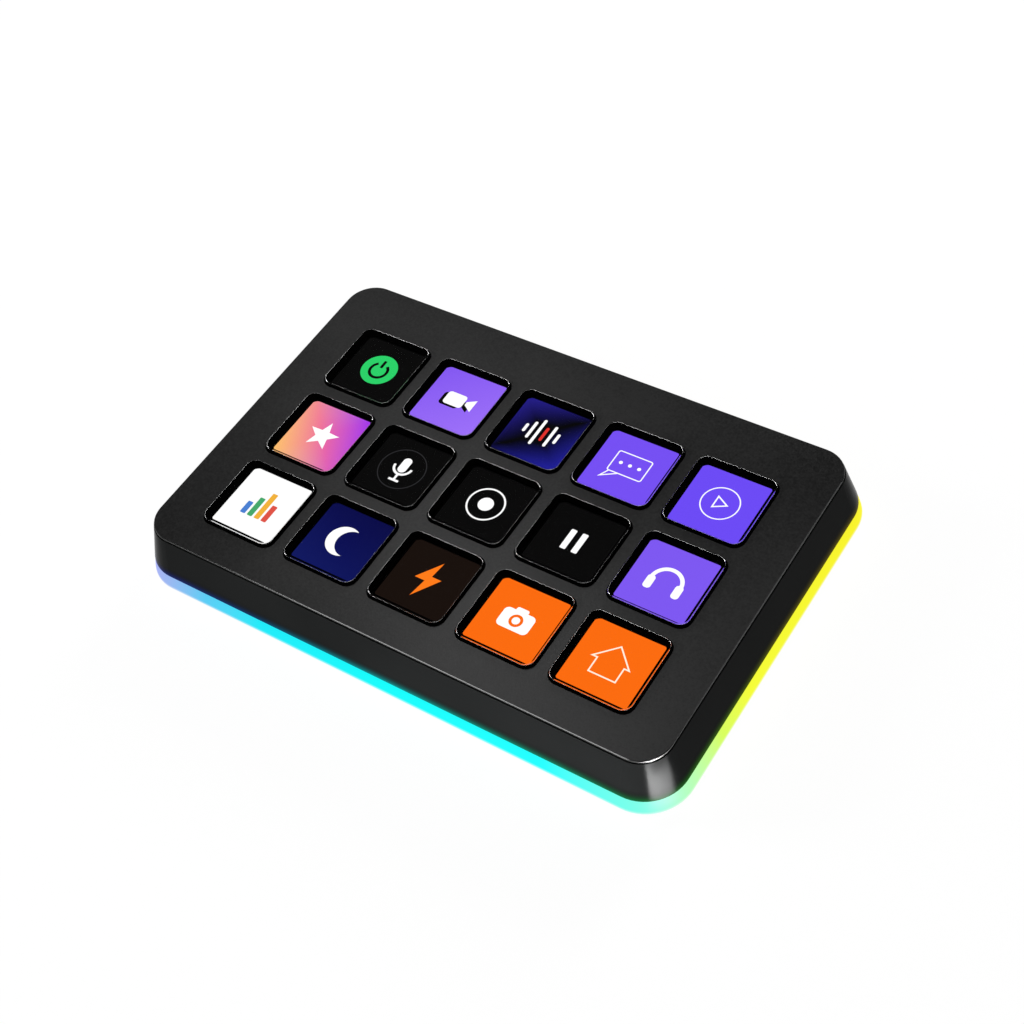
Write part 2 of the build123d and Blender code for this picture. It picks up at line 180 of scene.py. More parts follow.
def new_object(name, points, faces, *materials, smooth=True, closed=False):
    """A mesh object at the origin, with its place in its points. A closed one has its faces turned out."""
    mesh = bpy.data.meshes.new(name)
    mesh.from_pydata(np.asarray(points, float).reshape(-1, 3).tolist(), [], faces)
    if closed:
        work = bmesh.new()
        work.from_mesh(mesh)
        bmesh.ops.recalc_face_normals(work, faces=work.faces)
        work.to_mesh(mesh)
        work.free()
    mesh.polygons.foreach_set("use_smooth", np.full(len(mesh.polygons), smooth))
    for material in materials:
        mesh.materials.append(material)
    mesh.set_sharp_from_angle(angle=sharp_angle)
    mesh.update()
    piece = bpy.data.objects.new(name, mesh)
    bpy.context.scene.collection.objects.link(piece)
    return piece


def carry_round(middle, half, corner, inset, height, steps=8):
    """A profile carried round a rectangle with round corners, in millimetres. Each profile step draws the
    outline in by its inset and lifts it to its height: a point is the middle, plus the half sides less the
    corner radius with the corner's signs, plus the corner's quarter arc."""
    turn = np.radians(np.linspace(0, 90, steps) + 90 * np.arange(4)[:, None]).ravel()
    sign = np.repeat([[1, 1], [-1, 1], [-1, -1], [1, -1]], steps, axis=0)
    inset, height = np.asarray(inset, float)[:, None, None], np.asarray(height, float)[:, None, None]
    radius = np.maximum(corner - inset, least_radius_mm)
    quarter = np.stack([np.cos(turn), np.sin(turn)], axis=1)
    flat = middle + sign * (np.asarray(half) - inset - radius) + quarter * radius
    return np.concatenate([flat, np.broadcast_to(height, (*flat.shape[:2], 1))], axis=2)


def node_points(name):
    """A CAD node's points in millimetres."""
    vertices = nodes[name].data.vertices
    flat = np.empty(3 * len(vertices), np.float32)
    vertices.foreach_get("co", flat)
    return flat.reshape(-1, 3) / MM


def middle_of(name):
    """The middle of a CAD node's box on the plan, in millimetres."""
    low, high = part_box(name)
    return np.array((low + high).xy) / 2 / MM


print("a ring of", carry_round((0, 0), (9, 9), 2, [0], [0]).shape[1], "points round a key")

# %% [markdown]
# ## The studio
# The photograph is a product shot on white. The floor runs up into a low round backdrop, so a view from
# any side ends in white, and both keep a little of the light that falls on them, which is the object's
# shadow. One large softbox gives the plain light, and the others stand low and draw the thin lines on
# chamfers and edges that face them. A photographer keeps a lamp off the rest of an object with black
# cloth: here four lamps reach one piece each, and two wide low ones, set up with the keys, reach only
# the keys. Dark gloss also mirrors the white room, so a lit card shapes the near corner, and black
# flags at the right and in front keep white off the key edges there. Cameras see neither.

# %% Floor and backdrop
floor_radius, sweep_radius, backdrop_top, floor_glow = 1.6, 0.3, 0.7, 0.96
paper_fibre_mm = 3.0


def sweep_surface(turns=96, bends=16):
    """A disc, a quarter circle up from its rim, then a straight wall: one profile turned about Z."""
    bend = np.linspace(0, np.pi / 2, bends)
    radius = np.concatenate([[0.0], floor_radius + sweep_radius * np.sin(bend), [floor_radius + sweep_radius]])
    height = np.concatenate([[0.0], sweep_radius * (1 - np.cos(bend)), [backdrop_top]])
    turn = np.linspace(0, 2 * np.pi, turns, endpoint=False)
    return np.stack([np.outer(radius, np.cos(turn)), np.outer(radius, np.sin(turn)),
                     np.repeat(height[:, None], turns, 1)], axis=2)


def painted_paper():
    """Seamless paper: white to the eye and in mirrors, a plain diffuse white to the light it bounces."""
    material, tree, place = new_material("seamless paper, matt coated")
    path = add_node(tree, "LightPath").outputs
    seen = add_node(tree, "Math", {0: path["Is Camera Ray"], 1: path["Is Glossy Ray"]}, operation="MAXIMUM")
    seen = add_node(tree, "Math", {0: seen, 1: path["Is Transmission Ray"]}, operation="MAXIMUM")
    fibre = add_node(tree, "TexNoise", {"Vector": place, "Scale": per_metre(paper_fibre_mm)})
    shade = add_node(tree, "ValToRGB", {"Fac": fibre}, stops=[(0.0, "#5c5c5c"), (1.0, "#646464")])
    lit = add_node(tree, "BsdfDiffuse", {"Color": shade})
    glow = add_node(tree, "Emission", {"Color": (1, 1, 1, 1), "Strength": floor_glow})
    white = add_node(tree, "AddShader", {0: lit, 1: glow})
    bounce = add_node(tree, "BsdfDiffuse", {"Color": linear("#e6e6e6")})
    mix = add_node(tree, "MixShader", {0: seen, 1: bounce, 2: white})
    add_node(tree, "OutputMaterial", {"Surface": mix})
    return material


surface = sweep_surface()
floor = new_object("floor", surface, grid_faces(*surface.shape[:2], close_columns=True), painted_paper())
print("floor", len(floor.data.polygons), "faces")

# %% Softboxes and the dim room


def softbox(name, place_mm, aim_mm, width_mm, height_mm, watts):
    """An area lamp at a place, turned so that it faces its aim, with its width level."""
    lamp = bpy.data.lights.new(name, "AREA")
    lamp.shape, lamp.size, lamp.size_y, lamp.energy = "RECTANGLE", width_mm * MM, height_mm * MM, watts
    stand = bpy.data.objects.new(name, lamp)
    place, aim = np.array(place_mm, float), np.array(aim_mm, float)
    back = (place - aim) / np.linalg.norm(place - aim)
    side = np.cross([0, 0, 1], back)
    side /= np.linalg.norm(side)
    stand.matrix_world = place_matrix((side, np.cross(back, side), back), place * MM)
    stand.visible_camera = False
    bpy.context.scene.collection.objects.link(stand)
    return stand


def flag_off(stand, pieces):
    """Flags beside a lamp: only these pieces take its light."""
    lit = bpy.data.collections.new(stand.name + ", flagged")
    for piece in pieces:
        lit.objects.link(piece)
    stand.light_linking.receiver_collection = lit


face_middle, front_wall = (0, 0, 16), (40, -43, 10)
# Name, place, aim, width, height and watts of each lamp, and the one piece that it lights, if not all.
lamps = [("tall strip", (-360, 324, 774), face_middle, 81, 401, 0.415, "face_plate"),
         ("front strip", (75, -150, 14), front_wall, 80, 16, 0.27, "upper_housing"),
         ("front softbox", (260, -340, 760), face_middle, 480, 480, 0.7, None),
         ("left softbox", (-772, -281, 382), face_middle, 300, 250, 2.6, None),
         ("back softbox", (57, 820, 382), face_middle, 300, 250, 2.6, None),
         ("left low softbox", (-242, -702, 316), face_middle, 420, 130, 1.7, "face_plate"),
         ("right low softbox", (656, 394, 250), face_middle, 220, 130, 0.13, "face_plate")]
for *lamp, lit_piece in lamps:
    stand = softbox(*lamp)
    if lit_piece:
        flag_off(stand, [nodes[lit_piece]])

world = bpy.data.worlds.new("dim room")
world.use_nodes = True
world.node_tree.nodes["Background"].inputs["Color"].default_value = linear("#2a2a2a")
bpy.context.scene.world = world
print(len(lamps), "lamps")

# %% A card for the near corner
card_height, card_glow, card_fade, card_front, card_back = 0.6, 200.0, 3, -50, -38
card_corners = [(76.4, -63.8), (86.7, -35.0), (74.2, -40.0), (68.2, -51.9)]


def mirrored_card():
    """A lit card that only mirrors see, brighter towards its front."""
    material, tree, place = new_material("card, lit white")
    along = add_node(tree, "SeparateXYZ", {"Vector": place}).outputs["Y"]
    fade = add_node(tree, "MapRange", {
        "Value": along, "From Min": card_front * MM, "From Max": card_back * MM,
        "To Min": card_glow, "To Max": card_glow / card_fade})
    glow = add_node(tree, "Emission", {"Color": (1, 1, 1, 1), "Strength": fade})
    add_node(tree, "OutputMaterial", {"Surface": glow})
    return material


def mirrors_only(piece):
    """Hides a piece of the studio from all but mirrors."""
    piece.visible_camera = piece.visible_diffuse = piece.visible_shadow = piece.visible_transmission = False
    return piece


card_points = np.column_stack([card_corners, np.full(len(card_corners), card_height)]) * MM
card = mirrors_only(new_object("corner card", card_points, [[0, 1, 2, 3]], mirrored_card()))
print("card at", card_height, "mm")

# %% Flags at the right and in front
flag_turns = {"right flag": 28, "front flag": 242}
flag_distance, flag_half, flag_low, flag_high, pile_mm = 950, 385, 1, 385, 2.0


def black_velvet():
    """Black velvet, which gives a mirror nothing."""
    material, tree, place = new_material("velvet, black")
    pile = add_node(tree, "TexNoise", {"Vector": place, "Scale": per_metre(pile_mm)})
    shade = add_node(tree, "ValToRGB", {"Fac": pile}, stops=[(0.0, "#020202"), (1.0, "#060606")])
    cloth = add_node(tree, "BsdfDiffuse", {"Color": shade})
    add_node(tree, "OutputMaterial", {"Surface": cloth})
    return material


def flag_corners(turn):
    """An upright rectangle: its middle lies along the turn, in degrees, and its ends lie square to that."""
    along = np.array([math.cos(math.radians(turn)), math.sin(math.radians(turn))])
    across = np.array([-along[1], along[0]])
    ends = [flag_distance * along + side * flag_half * across for side in (-1, 1, 1, -1)]
    return np.column_stack([ends, [flag_low, flag_low, flag_high, flag_high]]) * MM


velvet = black_velvet()
for name, turn in flag_turns.items():
    flag = mirrors_only(new_object(name, flag_corners(turn), [[0, 1, 2, 3]], velvet))
print(len(flag_turns), "flags,", flag_high, "mm high")

# %% [markdown]
# ## Moulded plastics
# The face, the shell and the base are moulded ABS. A mould for the face is spark-eroded, which prints
# a fine matt grain; the shell's mould is polished further and comes out satin. Both are nearly black,
# so almost all that the eye sees is the grain breaking up the softboxes. The real grain is about
# 0.1 mm: here it is drawn 0.3 to 0.5 mm wide, which is the finest that shows at this distance.

# %% Grained finishes
slow_drift_mm, gloss_spread = 30.0, 0.08


def grained(name, dark, light, rough, grain_mm, depth_mm, **constants):
    """A finish between two tones: a slow drift plus a fine grain, which also roughens and dents it. What is
    the same all over is set by its socket's name, with _ for a space."""
    material, tree, place = new_material(name)
    drift = add_node(tree, "TexNoise", {"Vector": place, "Scale": per_metre(slow_drift_mm)})
    fine = add_node(tree, "TexNoise", {"Vector": place, "Scale": per_metre(grain_mm)})
    both = add_node(tree, "Math", {0: drift, 1: fine}, operation="ADD")
    mean = add_node(tree, "Math", {0: both, 1: 0.5}, operation="MULTIPLY")
    tone = add_node(tree, "ValToRGB", {"Fac": mean}, stops=[(0.36, dark), (0.64, light)])
    gloss = add_node(tree, "MapRange", {
        "Value": fine, "To Min": rough - gloss_spread, "To Max": rough + gloss_spread})
    dents = add_node(tree, "Bump", {"Height": fine, "Distance": depth_mm * MM})
    shader = add_node(tree, "BsdfPrincipled", {"Base Color": tone, "Roughness": gloss, "Normal": dents})
    for socket, value in constants.items():
        shader.inputs[socket.replace("_", " ")].default_value = value
    add_node(tree, "OutputMaterial", {"Surface": shader})
    return material


def dress(material, *names):
    """Gives CAD nodes a material in their own slot."""
    for name in names:
        mesh = nodes[name].data
        mesh.materials.clear()
        mesh.materials.append(material)
    print(material.name, "on", len(names))


# Dull near-black with a dry sparkle: grained all over, as nobody polishes an underside.
dress(grained("ABS, coarse matt", "#202021", "#2a2a2b", 0.6, 0.5, 0.03, Specular_IOR_Level=0.4),
      "base_cover", "display_bracket")
# Warmer and drier than ABS, with glass fibres that break the gloss.
dress(grained("nylon, glass filled", "#2c2a28", "#383532", 0.55, 0.3, 0.012, IOR=1.53),
      "ribbon_connector", "usb_tongue")

# %% Face plate: matt top, bright-cut chamfers
face_drift_mm, face_grain_mm, face_dent_mm = 40.0, 0.45, 0.014
chamfer_upward, chamfer_span, chamfer_gloss = 0.7, 0.2, 0.16


def spark_eroded_face():
    """Matt grained ABS whose 45 degree chamfers are cut bright: there the normal's Z is near 0.7."""
    material, tree, place = new_material("ABS, spark-eroded matt, chamfers cut bright")
    drift = add_node(tree, "TexNoise", {"Vector": place, "Scale": per_metre(face_drift_mm)})
    fine = add_node(tree, "TexNoise", {"Vector": place, "Scale": per_metre(face_grain_mm), "Detail": 3.0})
    both = add_node(tree, "Math", {0: fine, 1: drift}, operation="ADD")
    mean = add_node(tree, "Math", {0: both, 1: 0.5}, operation="MULTIPLY")
    tone = add_node(tree, "ValToRGB", {"Fac": mean}, stops=[(0.38, "#121212"), (0.62, "#2c2c2c")])
    normal = add_node(tree, "NewGeometry").outputs["True Normal"]
    upward = add_node(tree, "SeparateXYZ", {"Vector": normal}).outputs["Z"]
    chamfer = add_node(tree, "Math", {0: upward, 1: chamfer_upward, 2: chamfer_span}, operation="COMPARE")
    gloss = add_node(tree, "MapRange", {"Value": fine, "To Min": 0.26, "To Max": 0.38})
    gloss = add_node(tree, "Mix", {"Factor": chamfer, "A": gloss, "B": chamfer_gloss})
    dents = add_node(tree, "Bump", {"Height": fine, "Distance": face_dent_mm * MM})
    shader = add_node(tree, "BsdfPrincipled", {
        "Base Color": tone, "Roughness": gloss, "Normal": dents, "Specular IOR Level": 0.45, "IOR": 1.53})
    add_node(tree, "OutputMaterial", {"Surface": shader})
    return material


dress(spark_eroded_face(), "face_plate")

# %% [markdown]
# ## The light ring and its glow painted on the shell
# The ring is a frosted band with lamps behind it, so its light is even and its colour drifts slowly
# round the foot, and a painted bloom pales its lower edge to white. On the lip above it the ring's light
# is painted as a glow, darker and greener, and the plastic there is painted darker as shade. Both colours
# depend on the angle round the middle, measured on a square-stretched plan so that the corners fall at eighths.

# %% Ring, shell and their colours
ring_low, ring_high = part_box("light_ring")
shell_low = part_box("upper_housing")[0]
ring_stops = [(0.0, "#8f7dff"), (0.11, "#a99cf4"), (0.135, "#9db4f0"), (0.152, "#58cbf4"), (0.18, "#12eaf8"),
              (0.25, "#04fbfb"), (0.335, "#1cffff"), (0.371, "#80ffe6"), (0.39, "#b0ffc0"), (0.425, "#d6fd5c"),
              (0.46, "#f4fb30"), (0.62, "#f8f01c"), (0.70, "#ff9c3c"), (0.79, "#ff4f7d"), (0.88, "#c85af0"),
              (1.0, "#8f7dff")]
# Hues of the ring's light, painted on the lip as a glow.
painted_lip_glow_stops = [(0.0, "#1f1f6a"), (0.14, "#1c2f88"), (0.175, "#004c88"), (0.215, "#0098a8"), (0.25, "#00b8b8"),
             (0.34, "#0cac80"), (0.372, "#0a8c3c"), (0.40, "#347c14"), (0.45, "#5a7600"), (0.5, "#706c00"),
             (0.65, "#74600a"), (0.78, "#6a1030"), (0.9, "#3c1470"), (1.0, "#1f1f6a")]
# How far up the wall the painted lip glow and painted shade reach, and the power that the glow falls by.
painted_lip_reach_mm, painted_lip_glow_fall = 2.9, 3.0
frost_mm, shell_grain_mm, shell_drift_mm, shell_dent_mm = 0.4, 0.35, 25.0, 0.002


def share_round(tree, place):
    """The angle round the plan as a share: 0.25 is the front, 0.5 the right, 0.75 the back."""
    stretch = [2 / side for side in ring_high.xy - ring_low.xy]
    plan = add_node(tree, "Mapping", {"Vector": place, "Scale": (*stretch, 1.0)})
    return add_node(tree, "TexGradient", {"Vector": plan}, gradient_type="RADIAL").outputs["Fac"]


def lit_diffuser():
    """Frosted polycarbonate lit from behind: even and saturated, with a painted bloom that pales it to white at
    its lower edge.
    """
    material, tree, place = new_material("polycarbonate diffuser, frosted and lit")
    height = add_node(tree, "SeparateXYZ", {"Vector": place}).outputs["Z"]
    rise = add_node(tree, "MapRange", {"Value": height, "From Min": ring_low.z, "From Max": ring_high.z})
    # Painted bloom: the lowest part of the band is mixed towards white.
    pale = add_node(tree, "ValToRGB", {"Fac": rise},
                    stops=[(0.0, "#d8d8d8"), (0.08, "#8c8c8c"), (0.21, "#000000")])
    hue = add_node(tree, "ValToRGB", {"Fac": share_round(tree, place)}, stops=ring_stops)
    colour = add_node(tree, "Mix", {"Factor": pale, "A": hue, "B": (1, 1, 1, 1)}, data_type="RGBA")
    frost = add_node(tree, "TexNoise", {"Vector": place, "Scale": per_metre(frost_mm)})
    gloss = add_node(tree, "MapRange", {"Value": frost, "To Min": 0.45, "To Max": 0.6})
    shader = add_node(tree, "BsdfPrincipled", {
        "Base Color": linear("#050505"), "Roughness": gloss, "Specular IOR Level": 0.04, "IOR": 1.58,
        "Emission Color": colour, "Emission Strength": 1.0})
    add_node(tree, "OutputMaterial", {"Surface": shader})
    return material


def satin_shell_with_painted_lip():
    """Satin ABS with the ring's light painted on its lip as an emitted glow that falls with the cube of the
    height, and painted shade there.
    """
    material, tree, place = new_material("ABS, satin moulded, lip glow and shade painted")
    fine = add_node(tree, "TexNoise", {"Vector": place, "Scale": per_metre(shell_grain_mm)})
    drift = add_node(tree, "TexNoise", {"Vector": place, "Scale": per_metre(shell_drift_mm)})
    plastic = add_node(tree, "ValToRGB", {"Fac": drift}, stops=[(0.3, "#191a1a"), (0.7, "#1e1f1f")])
    height = add_node(tree, "SeparateXYZ", {"Vector": place}).outputs["Z"]
    # Nearness to the foot of the wall, which drives both the painted glow and the painted shade.
    near = add_node(tree, "MapRange", {
        "Value": height, "From Min": shell_low.z, "From Max": shell_low.z + painted_lip_reach_mm * MM,
        "To Min": 1.0, "To Max": 0.0})
    glow = add_node(tree, "Math", {0: near, 1: painted_lip_glow_fall}, operation="POWER")
    # Painted shade: the plastic is mixed towards black near the lip.
    tone = add_node(tree, "Mix", {"Factor": near, "A": plastic, "B": linear("#000000")}, data_type="RGBA")
    hue = add_node(tree, "ValToRGB", {"Fac": share_round(tree, place)}, stops=painted_lip_glow_stops)
    # Painted glow: the ring's light on the lip, drawn as emission in the lip's hue, fading up the wall.
    painted_ring_glow = add_node(tree, "Mix", {"Factor": 1.0, "A": hue, "B": glow}, data_type="RGBA", blend_type="MULTIPLY")
    gloss = add_node(tree, "MapRange", {"Value": fine, "To Min": 0.18, "To Max": 0.24})
    dents = add_node(tree, "Bump", {"Height": fine, "Distance": shell_dent_mm * MM})
    shader = add_node(tree, "BsdfPrincipled", {
        "Base Color": tone, "Roughness": gloss, "Normal": dents, "Specular IOR Level": 0.012,
        "IOR": 1.53, "Emission Color": painted_ring_glow, "Emission Strength": 1.0})
    add_node(tree, "OutputMaterial", {"Surface": shader})
    return material


dress(lit_diffuser(), "light_ring")
dress(satin_shell_with_painted_lip(), "upper_housing")

# %% [markdown]
# ## Clear keys
# Each key is a block of clear acrylic: a head with a finely rounded edge, a flange that holds it under
# the face, and a light pipe over the display. The top has an anti-glare coat, the rounded edge is left
# bright, and the sides are printed black, so that no picture is mirrored in them and every key sits in
# a dark frame. One mesh with three finishes gives all that, as a profile carried round the square and
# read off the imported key.

# %% Key blocks
key_edge_mm, key_edge_steps, flange_corner, cap_rim = 0.24, 7, 3.55, 0.05
CLEAR, PRINTED, BRIGHT = 0, 1, 2
smear_mm = 6.0


def polished_acrylic(name, mirror, hard_coat):
    """Clear acrylic with faint smears in its gloss: how much it mirrors, and its share of hard coat."""
    material, tree, place = new_material(name)
    smear = add_node(tree, "TexNoise", {"Vector": place, "Scale": per_metre(smear_mm)})
    gloss = add_node(tree, "MapRange", {"Value": smear, "To Min": 0.01, "To Max": 0.035})
    shader = add_node(tree, "BsdfPrincipled", {
        "Base Color": (1, 1, 1, 1), "Transmission Weight": 1.0, "Roughness": gloss, "IOR": 1.49,
        "Specular Tint": (mirror, mirror, mirror, 1.0), "Coat Weight": hard_coat, "Coat IOR": 2.2,
        "Coat Roughness": 0.03})
    add_node(tree, "OutputMaterial", {"Surface": shader})
    return material


def key_profile(name):
    """Inset from the flange's side, height, and the finish of the band that follows each profile step."""
    points = node_points(name)
    reach = np.abs(points[:, :2] - middle_of(name)).max(axis=1)
    levels = np.unique(points[:, 2].round(3))
    half = [reach[np.abs(points[:, 2] - level) < same_mm].max() for level in levels]
    pipe, head = half[1] - half[0], half[1] - half[-2]
    turn = np.linspace(0, np.pi / 2, key_edge_steps)
    edge_inset = head + key_edge_mm * (1 - np.cos(turn))
    edge_height = levels[-1] - key_edge_mm * (1 - np.sin(turn))
    inset = [pipe + cap_rim, pipe, pipe, 0, 0, head, *edge_inset, edge_inset[-1] + cap_rim]
    height = [levels[0], levels[0], levels[1], levels[1], levels[2], levels[2], *edge_height, levels[-1]]
    finish = [CLEAR] + [PRINTED] * 5 + [BRIGHT] * (key_edge_steps - 1) + [CLEAR]
    return half[1], inset, height, finish


def build_key(name, clear, black, edge):
    """The key's grid, closed by one face at the foot of the pipe and one on top."""
    half, inset, height, finish = key_profile(name)
    grid = carry_round(middle_of(name), (half, half), flange_corner, inset, height, steps=10)
    rows, columns = grid.shape[:2]
    piece = new_object("block_" + name, grid * MM, capped_faces(rows, columns), clear, black, edge, closed=True)
    slots = np.concatenate([np.repeat(finish, columns), [CLEAR, CLEAR]]).astype(np.int32)
    piece.data.polygons.foreach_set("material_index", slots)
    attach(piece, name)
    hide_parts(name)
    return piece


# Glassy but hardly mirroring: an anti-glare coat lets the picture through.
acrylic = polished_acrylic("cast acrylic, anti-glare coated", 0.06, 0.0)
# A thin bright line round each key: the hard coat gathers on the polished edge.
bright_edge = polished_acrylic("cast acrylic, flame-polished and hard coated", 1.0, 0.72)
# Dead black, so that the sides show nothing of the pictures.
print_black = grained("ink, screen printed black", "#020202", "#050505", 0.85, 0.3, 0.002,
                      Specular_IOR_Level=0.0)
keys = [build_key(name, acrylic, print_black, bright_edge) for name in key_names]
print(len(keys), "keys with a", key_edge_mm, "mm edge")

# %% Softboxes for the key edges
# Wide and low: a rounded edge mirrors them as a thin line. They aren't seen through the clear keys.
edge_lamps = [("left edge softbox", (-849, 52, 309), face_middle, 880, 560, 2.2),
              ("back edge softbox", (-191, 829, 309), face_middle, 760, 560, 3.5)]
for lamp in edge_lamps:
    edge_lamp = softbox(*lamp)
    edge_lamp.visible_transmission = False
    flag_off(edge_lamp, keys)
print(len(edge_lamps), "lamps for", len(keys), "keys")

# %% [markdown]
# ## Pictures behind the keys
# One display lies behind all the keys and lights a square picture under each. A picture could be an
# image, but flat shapes stay sharp at any size: each is a polygon or a line with a width, in a square
# that runs from -1 to 1, and lies about a hundredth of a millimetre above the shape before it. The
# colours ride on the points as an attribute, so that one lit material shows them all.

# %% Flat shapes for pictures


def arc(x, y, radius, start, stop, steps=24):
    """Points on a circle between two angles in degrees."""
    turn = np.radians(np.linspace(start, stop, steps))
    return np.stack([x + radius * np.cos(turn), y + radius * np.sin(turn)], axis=1)


def disc(x, y, radius):
    """A whole circle, whose last point stops one step before the first."""
    return arc(x, y, radius, 0, 352.5, 48)


def slab(x, y, width, height, corner):
    """A rectangle with round corners: four quarter arcs, anticlockwise."""
    right, top = width / 2 - corner, height / 2 - corner
    quarters = [(right, top, 0), (-right, top, 90), (-right, -top, 180), (right, -top, 270)]
    return np.concatenate([arc(x + a, y + b, corner, turn, turn + 90, 7) for a, b, turn in quarters])


def fill(outline):
    """A polygon as one face."""
    return outline, [list(range(len(outline)))]


def line(path, width, closed=False):
    """A line with a width: each point moves both ways along the mean of its two sides' normals."""
    ahead = np.roll(path, -1, axis=0) - path
    behind = path - np.roll(path, 1, axis=0)
    if not closed:
        ahead[-1], behind[0] = behind[-1], ahead[0]
    units = [step / np.linalg.norm(step, axis=1, keepdims=True) for step in (ahead, behind)]
    mean = units[0] + units[1]
    mean /= np.linalg.norm(mean, axis=1, keepdims=True)
    reach = width / 2 / np.sum(mean * units[0], axis=1, keepdims=True)
    normal = np.stack([-mean[:, 1], mean[:, 0]], axis=1) * reach
    return np.concatenate([path - normal, path + normal]), grid_faces(2, len(path), close_columns=closed)


def between(first, second):
    """The strip between two curves of as many points."""
    return np.concatenate([first, second]), grid_faces(2, len(first))


def drift(stops, direction):
    """A ground colour that changes along a direction: its stops are hex colours at equal steps."""
    colours = np.array([linear(stop) for stop in stops])
    aim = np.array(direction, float) / np.abs(direction).sum()

    def colour(points):
        """At each point, a mix of the stops on either side of it."""
        share = np.clip((points @ aim + 1) / 2, 0, 1) * (len(colours) - 1)
        low = np.minimum(share.astype(int), len(colours) - 2)
        part = (share - low)[:, None]
        return colours[low] * (1 - part) + colours[low + 1] * part
    return colour


def plain(code):
    """One colour at every point."""
    return lambda points: np.tile(linear(code), (len(points), 1))


print("a disc has", len(disc(0, 0, 1)), "points")

# %% Motifs
WHITE, BLACK, VIOLET, ORANGE = "#ffffff", "#0a0a0a", "#744ff0", "#f86a10"


def speech_bubble():
    """A rounded frame, a bent line for its tail, and three dots."""
    frame_path = slab(0.02, 0.06, 1.02, 0.72, 0.06)
    tail = np.array([[-0.42, -0.30], [-0.56, -0.56], [-0.14, -0.30]])
    return [(WHITE, line(frame_path, 0.035, True)), (WHITE, line(tail, 0.035))] + [
        (WHITE, fill(disc(x, 0.06, 0.055))) for x in (-0.26, 0.02, 0.30)]


def star(points=5, outer=0.5, inner=0.21):
    """Points on two circles in turn."""
    turn = np.radians(90 + np.arange(2 * points) * 180 / points)
    radius = np.where(np.arange(2 * points) % 2, inner, outer)
    return np.stack([radius * np.cos(turn), radius * np.sin(turn)], axis=1)


def crescent(radius=0.48, bite=0.42, shift=0.24):
    """The strip between a circle's long arc and a smaller circle that bites into it."""
    meet = math.degrees(math.acos((radius ** 2 + shift ** 2 - bite ** 2) / (2 * radius * shift)))
    meet_bite = math.degrees(math.acos((radius ** 2 - shift ** 2 - bite ** 2) / (2 * bite * shift)))
    inner = arc(shift, 0, bite, meet_bite, 360 - meet_bite, 40)
    return between(arc(0, 0, radius, meet, 360 - meet, 40), inner)


def headphones():
    """A half circle between two upright slabs."""
    return [(WHITE, line(arc(0, -0.08, 0.42, 0, 180, 30), 0.11)),
            (WHITE, fill(slab(-0.40, -0.22, 0.22, 0.42, 0.09))),
            (WHITE, fill(slab(0.40, -0.22, 0.22, 0.42, 0.09)))]


def microphone():
    """A capsule over a half circle with a stem and a foot, in a faint ring."""
    return [("#2a2a2c", line(disc(0, 0, 0.68), 0.03, True)),
            (WHITE, fill(slab(0, 0.14, 0.26, 0.52, 0.125))),
            (WHITE, line(arc(0, 0.08, 0.27, 180, 360, 20), 0.07)),
            (WHITE, line(np.array([[0, -0.18], [0, -0.42]]), 0.07)),
            (WHITE, line(np.array([[-0.16, -0.42], [0.16, -0.42]]), 0.07))]


def film_camera(shade, tone):
    """A slab and a widening lens, over the same shapes moved aside as a shade."""
    body = slab(-0.10, 0, 0.62, 0.46, 0.10)
    lens = np.array([[0.26, 0.06], [0.52, 0.22], [0.52, -0.22], [0.26, -0.06]])
    shifted = [shape + shade for shape in (body, lens)]
    return [(BLACK, fill(shape)) for shape in shifted] + [(tone, fill(shape)) for shape in (body, lens)]


def equaliser():
    """Upright bars at equal steps, centred on one level, one of them red."""
    heights = [0.30, 0.62, 0.94, 0.50, 0.76, 0.36]
    return [("#e0322c" if number == 3 else WHITE, fill(slab(-0.5 + 0.2 * number, 0, 0.09, height, 0.044)))
            for number, height in enumerate(heights)]


def bar_chart():
    """Upright bars at equal steps that stand on one level."""
    bars = [("#4a7fd0", 0.42), ("#45a66a", 0.66), ("#efb03a", 0.92), ("#dd5245", 0.58)]
    return [(tone, fill(slab(-0.36 + 0.24 * number, height / 2 - 0.46, 0.17, height, 0.03)))
            for number, (tone, height) in enumerate(bars)]


def photo_camera():
    """A wide slab with a bump on top, and a ring cut out for the lens."""
    return [(WHITE, fill(slab(0, -0.04, 0.92, 0.60, 0.14))), (WHITE, fill(slab(0, 0.28, 0.36, 0.16, 0.06))),
            (ORANGE, fill(disc(0, -0.04, 0.19))), (WHITE, fill(disc(0, -0.04, 0.11)))]


def power_sign():
    """A disc with an open ring in it and a stroke through the gap."""
    return [("#2ccf68", fill(disc(0, 0, 0.55))), (BLACK, line(arc(0, -0.03, 0.27, 125, 415, 32), 0.09)),
            (BLACK, line(np.array([[0, 0.08], [0, 0.36]]), 0.09))]


print("a star has", len(star()), "corners")

